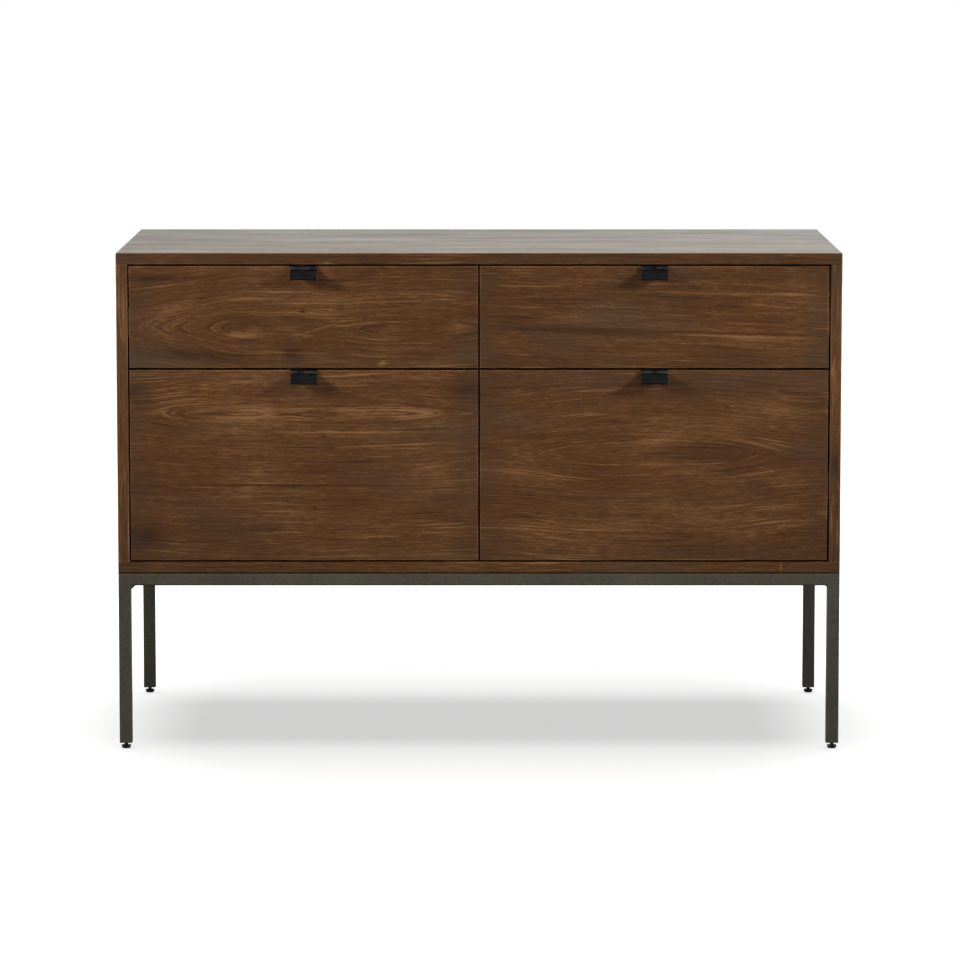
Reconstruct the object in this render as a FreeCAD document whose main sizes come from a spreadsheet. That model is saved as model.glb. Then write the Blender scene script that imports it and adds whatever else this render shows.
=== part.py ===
"""Filing credenza: a wooden case with two shallow drawers over two file drawers,
on a welded square-tube base with four levelling feet.

Frame: +Z up, the drawer fronts face -Y, and the origin is on the floor under the
middle of the bounding box. Lengths are in millimetres, angles in degrees.
"""
import FreeCAD, Part
import Sketcher
import os

# Driving sizes, each in a cell of the sheet under its own alias
SIZES = {
    # Case of veneered boards
    "case_width": 1100.0,
    "case_depth": 550.0,
    "case_height": 489.0,
    "panel_thickness": 17.5,
    "arris": 1.0,
    "back_thickness": 6.0,
    "back_lap": 8.0,
    # Drawer fronts, inset between the edges of the case
    "front_thickness": 18.0,
    "reveal": 2.0,
    "upper_front_height": 156.0,
    "divider_gap": 1.0,
    # Bent tab pulls
    "pull_width": 40.0,
    "pull_gauge": 2.0,
    "pull_reach": 13.0,
    "pull_web": 7.5,
    "pull_lip_angle": 42.0,
    "pull_flange": 15.0,
    "pull_bend": 2.0,
    "pull_gap": 0.2,
    # Drawer boxes with dovetailed corners
    "box_wall": 12.0,
    "box_depth": 500.0,
    "box_lift": 12.0,
    "upper_box_height": 115.0,
    "lower_box_height": 262.0,
    "upper_tails": 3,
    "lower_tails": 5,
    "tail_share": 0.68,
    "tail_slope_share": 0.14,
    "bottom_thickness": 6.0,
    "bottom_lift": 8.0,
    "groove_depth": 6.0,
    "groove_gap": 0.2,
    # Hanging-file rails of the lower drawers
    "file_rail_spacing": 311.0,
    "file_rail_thickness": 3.0,
    "file_rail_height": 15.0,
    "file_rail_stand": 3.0,
    "file_rail_gap": 0.2,
    "file_rail_end_gap": 1.0,
    # Telescopic slides of rolled steel
    "slide_width": 12.7,
    "slide_height": 45.0,
    "slide_setback": 3.0,
    "slide_gauge": 1.2,
    "slide_bend": 1.0,
    "upper_slide_lift": 57.5,
    "lower_slide_lift": 100.0,
    "case_flange": 9.5,
    "case_lip": 2.2,
    "web_gap": 1.2,
    "race_height": 4.0,
    "middle_flange": 7.8,
    "middle_lip": 2.4,
    "drawer_flange": 8.0,
    "cage_width": 4.0,
    "cage_length": 220.0,
    "cage_inset": 12.0,
    "cage_gap": 0.3,
    # Base of square tube
    "base_height": 271.0,
    "tube_size": 19.0,
    "tube_wall": 1.5,
    "tube_round": 2.0,
    "left_weld": 7.0,
    "right_weld": 3.0,
    "plug_length": 14.0,
    "plug_gap": 0.1,
    # Levelling feet
    "foot_reach": 9.0,
    "glide_height": 5.0,
    "glide_top_width": 15.0,
    "glide_base_width": 12.5,
    "stud_width": 6.0,
    "stud_length": 24.0,
    "thread_gap": 0.1,
    # Screws
    "base_screw_head": 9.0,
    "base_screw_cap": 3.0,
    "base_screw_shank": 4.5,
    "base_screw_bite": 12.0,
    "screw_gap": 0.15,
    "access_gap": 1.0,
    # Extra reach of every cut past the faces that it opens
    "overrun": 5.0,
}

# Places of the screws, as shares of the rail that they hold
rail_screw_shares = (-0.4, 0.4)

# Two vertices closer than this are at one place
same_place = 1e-4

doc = FreeCAD.newDocument("filing_cabinet")
sheet = doc.addObject("Spreadsheet::Sheet", "dims")
for row, (alias, size) in enumerate(SIZES.items(), 1):
    sheet.set(f"A{row}", alias)
    sheet.set(f"B{row}", str(size))
    sheet.setAlias(f"B{row}", alias)
doc.recompute()

# Sizes and places that follow from the driving ones
CASE_Y = "(dims.pull_reach / 2)"
FRONT_Y = "((dims.pull_reach - dims.case_depth) / 2)"
REAR_Y = "((dims.pull_reach + dims.case_depth) / 2)"
HALF_WIDTH = "(dims.case_width / 2)"
HALF_DEPTH = "(dims.case_depth / 2)"
INNER_HALF_WIDTH = f"({HALF_WIDTH} - dims.panel_thickness)"
INNER_HEIGHT = "(dims.case_height - 2 * dims.panel_thickness)"
INNER_BOTTOM_Z = "(dims.base_height + dims.panel_thickness)"
BACK_HALF_WIDTH = f"({INNER_HALF_WIDTH} + dims.back_lap)"
BACK_HEIGHT = f"({INNER_HEIGHT} + 2 * dims.back_lap)"
FRONT_WIDTH = f"({INNER_HALF_WIDTH} - 1.5 * dims.reveal)"
FRONT_X = f"(({INNER_HALF_WIDTH} - dims.reveal / 2) / 2)"
BAY_WIDTH = f"({INNER_HALF_WIDTH} - dims.panel_thickness / 2)"
BAY_X = f"(({INNER_HALF_WIDTH} + dims.panel_thickness / 2) / 2)"
BOX_HALF_WIDTH = f"({BAY_WIDTH} / 2 - dims.slide_width)"
BOX_INNER_HALF_WIDTH = f"({BOX_HALF_WIDTH} - dims.box_wall)"
BOX_Y = f"({FRONT_Y} + dims.front_thickness)"
SLIDE_Y = f"({BOX_Y} + dims.slide_setback)"
# A slide is as long as the box that it carries
SLIDE_LENGTH = "dims.box_depth"
HALF_TUBE = "(dims.tube_size / 2)"
HALF_BORE = f"({HALF_TUBE} - dims.tube_wall)"
LEG_LENGTH = "(dims.base_height - dims.foot_reach)"
LEG_X = f"({HALF_WIDTH} - {HALF_TUBE})"
LEG_REACH_Y = f"({HALF_DEPTH} - {HALF_TUBE})"
RAIL_Z = f"(dims.base_height - {HALF_TUBE})"

SIDES = {"left": -1, "right": 1}
LOWER_FRONT_HEIGHT = f"({INNER_HEIGHT} - dims.upper_front_height - 3 * dims.reveal)"
LOWER_FRONT_Z = f"({INNER_BOTTOM_Z} + dims.reveal)"
LEVELS = {
    "upper": {
        "front_height": "dims.upper_front_height",
        "front_z": f"({LOWER_FRONT_Z} + {LOWER_FRONT_HEIGHT} + dims.reveal)",
    },
    "lower": {"front_height": LOWER_FRONT_HEIGHT, "front_z": LOWER_FRONT_Z},
}

# Sense of each origin plane's normal along its own axis
PLANE_SENSE = {"XY_Plane": 1, "XZ_Plane": -1, "YZ_Plane": 1}

nodes = []


def value(expression):
    """Works out an expression in the sheet's sizes."""
    return float(sheet.evalExpression(expression))


def new_body(label):
    return doc.addObject("PartDesign::Body", label)


def node(item, x="0", y="0", z="0"):
    """Places a finished piece and lists it for writing."""
    for axis, expression in zip("xyz", (x, y, z)):
        item.setExpression(f"Placement.Base.{axis}", expression)
    nodes.append(item)
    return item


def origin_item(body, role):
    return next(item for item in body.Origin.OriginFeatures if item.Role == role)


def sketch(body, name, role, level="0"):
    """Lays a sketch on an origin plane, moved to a level along that plane's axis."""
    outline = body.newObject("Sketcher::SketchObject", name)
    outline.AttachmentSupport = [(origin_item(body, role), "")]
    outline.MapMode = "FlatFace"
    outline.setExpression("AttachmentOffset.Base.z", f"{PLANE_SENSE[role]} * ({level})")
    return outline


def bind(outline, index, name, expression):
    outline.renameConstraint(index, name)
    outline.setExpression(f"Constraints.{name}", expression)


def hold(outline, geometry, point, place):
    """Fixes a point of a sketch at a place given by two expressions."""
    for kind, expression in zip(("DistanceX", "DistanceY"), place):
        rule = Sketcher.Constraint(kind, -1, 1, geometry, point, value(expression))
        bind(outline, outline.addConstraint(rule), f"{kind}_{geometry}", expression)


def polygon(outline, places):
    """Draws a closed run of lines through places given by expressions."""
    first = outline.GeometryCount
    corners = [FreeCAD.Vector(value(x), value(y)) for x, y in places]
    order = [(index, (index + 1) % len(corners)) for index in range(len(corners))]
    for start, end in order:
        outline.addGeometry(Part.LineSegment(corners[start], corners[end]))
    for start, end in order:
        outline.addConstraint(Sketcher.Constraint("Coincident", first + start, 2, first + end, 1))
    for index, place in enumerate(places):
        hold(outline, first + index, 1, place)


def rectangle(outline, x_low, x_high, y_low, y_high):
    polygon(outline, [(x_low, y_low), (x_high, y_low), (x_high, y_high), (x_low, y_high)])


def circle(outline, centre, radius):
    middle = FreeCAD.Vector(value(centre[0]), value(centre[1]))
    ring = Part.Circle(middle, FreeCAD.Vector(0, 0, 1), value(radius))
    geometry = outline.addGeometry(ring)
    hold(outline, geometry, 3, centre)
    rule = Sketcher.Constraint("Radius", geometry, value(radius))
    bind(outline, outline.addConstraint(rule), f"Radius_{geometry}", radius)


def sketch_sense(outline):
    return PLANE_SENSE[outline.AttachmentSupport[0][0].Role]


def pad(body, name, outline, length, sense=1, both_ways=False):
    """Raises a sketch along its axis, forwards or backwards, or half each way."""
    feature = body.newObject("PartDesign::Pad", name)
    feature.Profile = outline
    feature.setExpression("Length", length)
    feature.Reversed = sketch_sense(outline) * sense < 0
    feature.Midplane = both_ways
    return feature


def pocket(body, name, outline, depth=None, sense=1):
    """Cuts a sketch to a depth along its axis, or right through both ways."""
    feature = body.newObject("PartDesign::Pocket", name)
    feature.Profile = outline
    if depth is None:
        feature.Type = "ThroughAll"
        feature.Midplane = True
    else:
        feature.setExpression("Length", depth)
        feature.Reversed = sketch_sense(outline) * sense > 0
    return feature


def turn(body, name, outline):
    """Spins a sketch once round its own upright axis."""
    feature = body.newObject("PartDesign::Revolution", name)
    feature.Profile = outline
    feature.ReferenceAxis = (outline, ["V_Axis"])
    feature.Angle = 360
    return feature


def repeat_up(body, name, feature, spacing, count):
    """Repeats a feature up the body's Z axis."""
    pattern = body.newObject("PartDesign::LinearPattern", name)
    pattern.Originals = [feature]
    pattern.Direction = (origin_item(body, "Z_Axis"), [""])
    pattern.Mode = "Spacing"
    pattern.setExpression("Offset", spacing)
    pattern.setExpression("Occurrences", count)
    body.Tip = pattern
    return pattern


def edges_on(feature, **planes):
    """Names the edges whose ends all lie on planes such as z = an expression."""
    doc.recompute()
    wanted = {axis.upper(): value(expression) for axis, expression in planes.items()}
    return [
        f"Edge{number}"
        for number, edge in enumerate(feature.Shape.Edges, 1)
        if all(
            abs(getattr(vertex, axis) - place) < same_place
            for vertex in edge.Vertexes
            for axis, place in wanted.items()
        )
    ]


def round_edges(body, name, feature, edges, radius):
    rounding = body.newObject("PartDesign::Fillet", name)
    rounding.Base = (feature, sorted(set(edges)))
    rounding.setExpression("Radius", radius)
    return rounding


def bevel_edges(body, name, feature, edges, size):
    bevel = body.newObject("PartDesign::Chamfer", name)
    bevel.Base = (feature, sorted(set(edges)))
    bevel.setExpression("Size", size)
    return bevel


def bores(body, name, role, level, centres, width, depth=None, sense=1):
    """Cuts a row of round holes of one width."""
    outline = sketch(body, f"{name}_centres", role, level)
    for centre in centres:
        circle(outline, centre, f"({width}) / 2")
    return pocket(body, name, outline, depth, sense)


def copies(label, piece, places):
    """Groups copies of one piece in a node; each place is x, y, z and a turn about Y or Z."""
    links = []
    for number, (x, y, z, axis, angle) in enumerate(places, 1):
        link = doc.addObject("App::Link", f"{label}_{number}")
        link.LinkedObject = piece
        link.Placement = FreeCAD.Placement(FreeCAD.Vector(), FreeCAD.Rotation(axis, angle))
        for letter, expression in zip("xyz", (x, y, z)):
            link.setExpression(f"Placement.Base.{letter}", expression)
        links.append(link)
    group = doc.addObject("Part::Compound", label)
    group.Links = links
    return node(group)


Y_AXIS = FreeCAD.Vector(0, 1, 0)
Z_AXIS = FreeCAD.Vector(0, 0, 1)
HALF_TURN = 180


# Case

BASE_SCREW_PLACES = [
    (f"{share} * dims.case_width", f"{end} * {LEG_REACH_Y}")
    for end in (-1, 1)
    for share in rail_screw_shares
]
BACK_FACE = f"({HALF_DEPTH} - dims.back_thickness)"


def flat_panel(label, sense, z):
    """Top or bottom board: full width, with a stopped rebate for the back panel."""
    body = new_body(label)
    outline = sketch(body, f"{label}_outline", "XY_Plane")
    rectangle(outline, f"-{HALF_WIDTH}", HALF_WIDTH, f"-{HALF_DEPTH}", HALF_DEPTH)
    board = pad(body, f"{label}_board", outline, "dims.panel_thickness", sense)
    outer = edges_on(board, z=f"{sense} * dims.panel_thickness")
    for side in (-1, 1):
        for end in (-1, 1):
            outer += edges_on(board, x=f"{side} * {HALF_WIDTH}", y=f"{end} * {HALF_DEPTH}")
    bevel_edges(body, f"{label}_arris", board, outer, "dims.arris")
    rebate = sketch(body, f"{label}_rebate_outline", "XY_Plane")
    rear = f"({HALF_DEPTH} + dims.overrun)"
    rectangle(rebate, f"-{BACK_HALF_WIDTH}", BACK_HALF_WIDTH, BACK_FACE, rear)
    pocket(body, f"{label}_rebate", rebate, "dims.back_lap", sense)
    if sense < 0:
        width = "dims.base_screw_shank + 2 * dims.screw_gap"
        bite = "dims.base_screw_bite + dims.screw_gap"
        level = "-dims.panel_thickness"
        bores(body, f"{label}_base_pilots", "XY_Plane", level, BASE_SCREW_PLACES, width, bite)
    return node(body, y=CASE_Y, z=z)


def side_panel(label, side):
    """Upright end board between top and bottom, rebated for the back panel."""
    body = new_body(label)
    outline = sketch(body, f"{label}_outline", "YZ_Plane")
    rectangle(outline, f"-{HALF_DEPTH}", HALF_DEPTH, "0", INNER_HEIGHT)
    board = pad(body, f"{label}_board", outline, "dims.panel_thickness", side)
    outer_x = f"{side} * dims.panel_thickness"
    outer = []
    for end in (-1, 1):
        outer += edges_on(board, x=outer_x, y=f"{end} * {HALF_DEPTH}")
    bevel_edges(body, f"{label}_arris", board, outer, "dims.arris")
    rebate = sketch(body, f"{label}_rebate_outline", "YZ_Plane")
    high = f"({INNER_HEIGHT} + dims.overrun)"
    rectangle(rebate, BACK_FACE, f"({HALF_DEPTH} + dims.overrun)", "-dims.overrun", high)
    pocket(body, f"{label}_rebate", rebate, "dims.back_lap", side)
    return node(body, x=f"{side} * {INNER_HALF_WIDTH}", y=CASE_Y, z=INNER_BOTTOM_Z)


def centre_divider():
    """Upright board behind the fronts, which carries the inner slides."""
    body = new_body("centre_divider")
    outline = sketch(body, "divider_outline", "YZ_Plane")
    front = f"(dims.front_thickness + dims.divider_gap - {HALF_DEPTH})"
    rectangle(outline, front, BACK_FACE, "0", INNER_HEIGHT)
    pad(body, "divider_board", outline, "dims.panel_thickness", both_ways=True)
    return node(body, y=CASE_Y, z=INNER_BOTTOM_Z)


def back_panel():
    """Thin back, glued into the rebates of the case."""
    body = new_body("back_panel")
    outline = sketch(body, "back_outline", "XZ_Plane")
    half_height = f"({BACK_HEIGHT} / 2)"
    rectangle(outline, f"-{BACK_HALF_WIDTH}", BACK_HALF_WIDTH, f"-{half_height}", half_height)
    pad(body, "back_board", outline, "dims.back_thickness", -1)
    return node(body, y=REAR_Y, z=f"{INNER_BOTTOM_Z} + {INNER_HEIGHT} / 2")


# Base

def square_tube(body, name, role):
    """Sketches the section of the tube: a square round a square bore."""
    section = sketch(body, name, role)
    rectangle(section, f"-{HALF_TUBE}", HALF_TUBE, f"-{HALF_TUBE}", HALF_TUBE)
    rectangle(section, f"-{HALF_BORE}", HALF_BORE, f"-{HALF_BORE}", HALF_BORE)
    return section


def tube_corners(feature, first, second):
    """Names the four long outer edges of a tube, square to the two axes named."""
    names = []
    for one in (-1, 1):
        for two in (-1, 1):
            planes = {first: f"{one} * {HALF_TUBE}", second: f"{two} * {HALF_TUBE}"}
            names += edges_on(feature, **planes)
    return names


def long_rail(label, end):
    """Front or rear rail, mitred at both ends to its legs, with screw holes through its top
    wall and wider access holes below them."""
    body = new_body(label)
    section = square_tube(body, f"{label}_section", "YZ_Plane")
    tube = pad(body, f"{label}_tube", section, "dims.case_width", both_ways=True)
    corners = tube_corners(tube, "y", "z")
    round_edges(body, f"{label}_rounding", tube, corners, "dims.tube_round")
    mitres = sketch(body, f"{label}_mitre_outline", "XZ_Plane")
    past = "dims.overrun"
    for side in (-1, 1):
        outside = f"{side} * ({HALF_WIDTH} + {past})"
        inside = f"{side} * ({HALF_WIDTH} - dims.tube_size - {past})"
        low = f"-({HALF_TUBE} + {past})"
        polygon(mitres, [(outside, f"{HALF_TUBE} + {past}"), (outside, low), (inside, low)])
    pocket(body, f"{label}_mitres", mitres)
    centres = [(f"{share} * dims.case_width", "0") for share in rail_screw_shares]
    width = "dims.base_screw_shank + 2 * dims.screw_gap"
    bores(body, f"{label}_holes", "XY_Plane", HALF_TUBE, centres, width, "dims.tube_wall", -1)
    access = "dims.base_screw_head + 2 * dims.access_gap"
    level = f"-{HALF_TUBE}"
    bores(body, f"{label}_access_holes", "XY_Plane", level, centres, access, "dims.tube_wall")
    return node(body, y=f"{CASE_Y} + {end} * {LEG_REACH_Y}", z=RAIL_Z)


def side_rail(label, side):
    """End rail, butted between the front and rear legs."""
    body = new_body(label)
    section = square_tube(body, f"{label}_section", "XZ_Plane")
    length = "dims.case_depth - 2 * dims.tube_size"
    tube = pad(body, f"{label}_tube", section, length, both_ways=True)
    corners = tube_corners(tube, "x", "z")
    round_edges(body, f"{label}_rounding", tube, corners, "dims.tube_round")
    return node(body, x=f"{side} * {LEG_X}", y=CASE_Y, z=RAIL_Z)


def leg(label, side, end):
    """Leg mitred to the long rail, with the weld fillet in its inner corner."""
    body = new_body(label)
    section = square_tube(body, f"{label}_section", "XY_Plane")
    tube = pad(body, f"{label}_tube", section, LEG_LENGTH)
    corners = tube_corners(tube, "x", "y")
    round_edges(body, f"{label}_rounding", tube, corners, "dims.tube_round")
    mitre = sketch(body, f"{label}_mitre_outline", "XZ_Plane")
    past = "dims.overrun"
    outside = f"{side} * ({HALF_TUBE} + {past})"
    inside = f"-{side} * ({HALF_TUBE} + {past})"
    top = f"({LEG_LENGTH} + {past})"
    low = f"({LEG_LENGTH} - dims.tube_size - {past})"
    polygon(mitre, [(outside, top), (inside, top), (inside, low)])
    pocket(body, f"{label}_mitre", mitre)
    weld = "dims.left_weld" if side < 0 else "dims.right_weld"
    bead = sketch(body, f"{label}_weld_outline", "XZ_Plane")
    root = f"-{side} * {HALF_TUBE}"
    toe = f"-{side} * ({HALF_TUBE} + {weld})"
    under = f"({LEG_LENGTH} - dims.tube_size)"
    polygon(bead, [(root, under), (toe, under), (root, f"{under} - {weld}")])
    flat = "dims.tube_size - 2 * dims.tube_round"
    pad(body, f"{label}_weld", bead, flat, both_ways=True)
    x = f"{side} * {LEG_X}"
    return node(body, x=x, y=f"{CASE_Y} + {end} * {LEG_REACH_Y}", z="dims.foot_reach")


CORNERS = {
    f"{'front' if end < 0 else 'rear'}_{name}": (side, end)
    for end in (-1, 1)
    for name, side in SIDES.items()
}
CORNER_PLACES = [
    (f"{side} * {LEG_X}", f"{CASE_Y} + {end} * {LEG_REACH_Y}")
    for side, end in CORNERS.values()
]


def leg_end_plugs():
    """Threaded square plugs, flush in the open ends of the legs."""
    body = new_body("leg_end_plug")
    outline = sketch(body, "plug_outline", "XY_Plane")
    half = f"({HALF_BORE} - dims.plug_gap)"
    rectangle(outline, f"-{half}", half, f"-{half}", half)
    pad(body, "plug_block", outline, "dims.plug_length")
    width = "dims.stud_width + 2 * dims.thread_gap"
    bores(body, "plug_thread", "XY_Plane", "0", [("0", "0")], width)
    spots = [(x, y, "dims.foot_reach", Z_AXIS, 0) for x, y in CORNER_PLACES]
    return copies("leg_end_plugs", body, spots)


def base_mounting_screws():
    """Pan-headed screws inside the rails, up through their top walls into the bottom board."""
    body = new_body("base_screw")
    outline = sketch(body, "base_screw_profile", "XZ_Plane")
    head = "dims.base_screw_head / 2"
    shank = "dims.base_screw_shank / 2"
    cap = "-dims.base_screw_cap"
    tip = "dims.tube_wall + dims.base_screw_bite"
    polygon(outline, [("0", cap), (head, cap), (head, "0"), (shank, "0"), (shank, tip), ("0", tip)])
    turn(body, "base_screw_turned", outline)
    seat = "dims.base_height - dims.tube_wall"
    spots = [(x, f"{CASE_Y} + {y}", seat, Z_AXIS, 0) for x, y in BASE_SCREW_PLACES]
    return copies("base_mounting_screws", body, spots)


def levelling_foot(label, x, y):
    """Flared glide and its stud, turned as one piece."""
    body = new_body(label)
    outline = sketch(body, f"{label}_profile", "XZ_Plane")
    base = "dims.glide_base_width / 2"
    top = "dims.glide_top_width / 2"
    stud = "dims.stud_width / 2"
    high = "dims.glide_height"
    tip = "dims.glide_height + dims.stud_length"
    polygon(outline, [("0", "0"), (base, "0"), (top, high), (stud, high), (stud, tip), ("0", tip)])
    turn(body, f"{label}_turned", outline)
    return node(body, x=x, y=y)


# Telescopic slides, drawn for a wall on their left, with x from that wall to the drawer

SLIDE_HALF = "(dims.slide_height / 2)"
MIDDLE_HALF = f"({SLIDE_HALF} - dims.slide_gauge - dims.race_height)"
DRAWER_HALF = f"({MIDDLE_HALF} - dims.slide_gauge - dims.race_height)"
MIDDLE_X = "(dims.slide_gauge + dims.web_gap)"


def channel(label, web_x, sense, half, flange, lip):
    """Rolled channel: web and two flanges with flat bends, and inward lips where a lip is given."""
    body = new_body(label)
    section = sketch(body, f"{label}_section", "XZ_Plane")
    gauge = "dims.slide_gauge"
    inner = f"{web_x} + {sense} * {gauge}"
    end = f"{web_x} + {sense} * {flange}"
    lip_in = f"{web_x} + {sense} * ({flange} - {gauge})"
    upper = [(inner, f"{half} - {gauge}")]
    if lip:
        upper += [(lip_in, f"{half} - {gauge}"), (lip_in, f"{half} - {lip}"), (end, f"{half} - {lip}")]
    else:
        upper += [(end, f"{half} - {gauge}")]
    upper += [(end, half), (web_x, half)]
    lower = [(x, f"-({z})") for x, z in reversed(upper)]
    polygon(section, upper + lower)
    rolled = pad(body, f"{label}_rolled", section, SLIDE_LENGTH)
    bends = []
    for up in (-1, 1):
        for x in (web_x, end) if lip else (web_x,):
            bends += edges_on(rolled, x=x, z=f"{up} * {half}")
    bevel_edges(body, f"{label}_bends", rolled, bends, "dims.slide_bend")
    return body


def ball_cage(label, x, z_low, z_high, start):
    """Plain strip cage that runs in one race."""
    body = new_body(label)
    section = sketch(body, f"{label}_section", "XZ_Plane", start)
    rectangle(section, x, f"{x} + dims.cage_width", z_low, z_high)
    pad(body, f"{label}_strip", section, "dims.cage_length")
    return body


OUTER_CAGE_X = f"({MIDDLE_X} + (dims.case_flange - {MIDDLE_X} - dims.cage_width) / 2)"
MIDDLE_THROAT = "(dims.middle_flange - 2 * dims.slide_gauge)"
INNER_CAGE_X = f"({MIDDLE_X} + dims.slide_gauge + ({MIDDLE_THROAT} - dims.cage_width) / 2)"
OUTER_CAGE_Y = f"({SLIDE_LENGTH} - dims.cage_inset - dims.cage_length)"
CAGE_HEIGHT = "(dims.race_height - dims.cage_gap)"


def slide_pieces():
    """Makes one case member, one middle member with its cages, and one drawer member."""
    case = channel("slide_case_member", "0", 1, SLIDE_HALF, "dims.case_flange", "dims.case_lip")
    middle = channel(
        "slide_middle_member", MIDDLE_X, 1, MIDDLE_HALF, "dims.middle_flange", "dims.middle_lip"
    )
    drawer = channel(
        "slide_drawer_member", "dims.slide_width", -1, DRAWER_HALF, "dims.drawer_flange", None
    )
    seat = f"({MIDDLE_HALF} - dims.slide_gauge)"
    cages = []
    for name, up in (("top", 1), ("bottom", -1)):
        near = f"{up} * {MIDDLE_HALF}"
        far = f"{up} * ({MIDDLE_HALF} + {CAGE_HEIGHT})"
        cages.append(ball_cage(f"outer_{name}_cage", OUTER_CAGE_X, near, far, OUTER_CAGE_Y))
        near = f"{up} * {seat}"
        far = f"{up} * ({seat} - {CAGE_HEIGHT})"
        cages.append(ball_cage(f"inner_{name}_cage", INNER_CAGE_X, near, far, "dims.cage_inset"))
    runner = doc.addObject("Part::Compound", "slide_runner")
    runner.Links = [middle] + cages
    return case, runner, drawer


def bay_walls(side):
    """Gives the two walls of a bay as places in X, each with the turn of its slide."""
    outer = (f"{side} * {INNER_HALF_WIDTH}", 0 if side < 0 else HALF_TURN)
    inner = (f"{side} * dims.panel_thickness / 2", HALF_TURN if side < 0 else 0)
    return outer, inner


def slide_places(side, level):
    """Gives the places of the two slides of one drawer."""
    z = f"{LEVELS[level]['front_z']} + dims.box_lift + dims.{level}_slide_lift"
    return [(x, SLIDE_Y, z, Y_AXIS, angle) for x, angle in bay_walls(side)]


# Drawers

def drawer_front(label, x, z, height):
    """Inset front with eased edges, notched in its top edge for the pull."""
    body = new_body(label)
    outline = sketch(body, f"{label}_outline", "XZ_Plane")
    half = f"({FRONT_WIDTH} / 2)"
    rectangle(outline, f"-{half}", half, "0", height)
    board = pad(body, f"{label}_board", outline, "dims.front_thickness")
    bevel_edges(body, f"{label}_arris", board, edges_on(board, y="0"), "dims.arris")
    notch = sketch(body, f"{label}_notch_outline", "XZ_Plane")
    reach = "(dims.pull_width / 2 + dims.pull_gap)"
    floor = f"{height} - dims.pull_gauge"
    rectangle(notch, f"-{reach}", reach, floor, f"{height} + dims.overrun")
    pocket(body, f"{label}_notch", notch, "dims.pull_flange + dims.pull_gap")
    return node(body, x=x, y=FRONT_Y, z=z)


def drawer_pull(label, x, z):
    """Strip bent over the front's top edge: flange, upright web and flared lip."""
    body = new_body(label)
    profile = sketch(body, f"{label}_profile", "YZ_Plane")
    gauge = "dims.pull_gauge"
    tilt = "dims.pull_lip_angle"
    bend = "-dims.pull_web"
    inner_bend = f"{bend} - {gauge} * tan({tilt} / 2)"
    tip_z = f"{bend} - (dims.pull_reach - {gauge}) / tan({tilt})"
    polygon(
        profile,
        [
            ("dims.pull_flange", "0"),
            (f"-{gauge}", "0"),
            (f"-{gauge}", bend),
            ("-dims.pull_reach", tip_z),
            (f"-dims.pull_reach + {gauge} * cos({tilt})", f"{tip_z} - {gauge} * sin({tilt})"),
            ("0", inner_bend),
            ("0", f"-{gauge}"),
            ("dims.pull_flange", f"-{gauge}"),
        ],
    )
    strip = pad(body, f"{label}_strip", profile, "dims.pull_width", both_ways=True)
    outside = edges_on(strip, y=f"-{gauge}", z="0") + edges_on(strip, y=f"-{gauge}", z=bend)
    bent = round_edges(body, f"{label}_outer_bends", strip, outside, "dims.pull_bend")
    inside = edges_on(bent, y="0", z=inner_bend)
    round_edges(body, f"{label}_inner_bend", bent, inside, f"dims.pull_bend + {gauge}")
    return node(body, x=x, y=FRONT_Y, z=z)


def tail_outline(outline, root_y, end_y, pitch):
    """Draws the lowest dovetail, narrow at its root and wide at the board's end."""
    wide = f"({pitch} * dims.tail_share / 2)"
    narrow = f"({wide} - dims.tail_slope_share * dims.box_wall)"
    middle = f"{pitch} / 2"
    polygon(
        outline,
        [
            (root_y, f"{middle} - {narrow}"),
            (end_y, f"{middle} - {wide}"),
            (end_y, f"{middle} + {wide}"),
            (root_y, f"{middle} + {narrow}"),
        ],
    )


BOX_REAR_INNER = "(dims.box_depth - dims.box_wall)"
GROOVE_FRONT = "(dims.box_wall - dims.groove_depth)"
GROOVE_REAR = f"({BOX_REAR_INNER} + dims.groove_depth)"
GROOVE_TOP = "(dims.bottom_lift + dims.bottom_thickness + dims.groove_gap)"
GROOVE_HALF_WIDTH = f"({BOX_INNER_HALF_WIDTH} + dims.groove_depth)"


def box_side(label, place, x, z, height, tails):
    """Side of a drawer box, with tails at both ends and a groove for the bottom."""
    body = new_body(label)
    outer = f"{place} * {BOX_HALF_WIDTH}"
    pitch = f"({height} / {tails})"
    outline = sketch(body, f"{label}_outline", "YZ_Plane", outer)
    rectangle(outline, "dims.box_wall", BOX_REAR_INNER, "0", height)
    pad(body, f"{label}_board", outline, "dims.box_wall", -place)
    joint = sketch(body, f"{label}_tail_outline", "YZ_Plane", outer)
    tail_outline(joint, "dims.box_wall", "0", pitch)
    tail_outline(joint, BOX_REAR_INNER, "dims.box_depth", pitch)
    tail = pad(body, f"{label}_tail", joint, "dims.box_wall", -place)
    repeat_up(body, f"{label}_tails", tail, pitch, tails)
    groove = sketch(body, f"{label}_groove_outline", "YZ_Plane", f"{place} * {BOX_INNER_HALF_WIDTH}")
    rectangle(groove, GROOVE_FRONT, GROOVE_REAR, "dims.bottom_lift", GROOVE_TOP)
    body.Tip = pocket(body, f"{label}_groove", groove, "dims.groove_depth", place)
    return node(body, x=x, y=BOX_Y, z=z)


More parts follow.
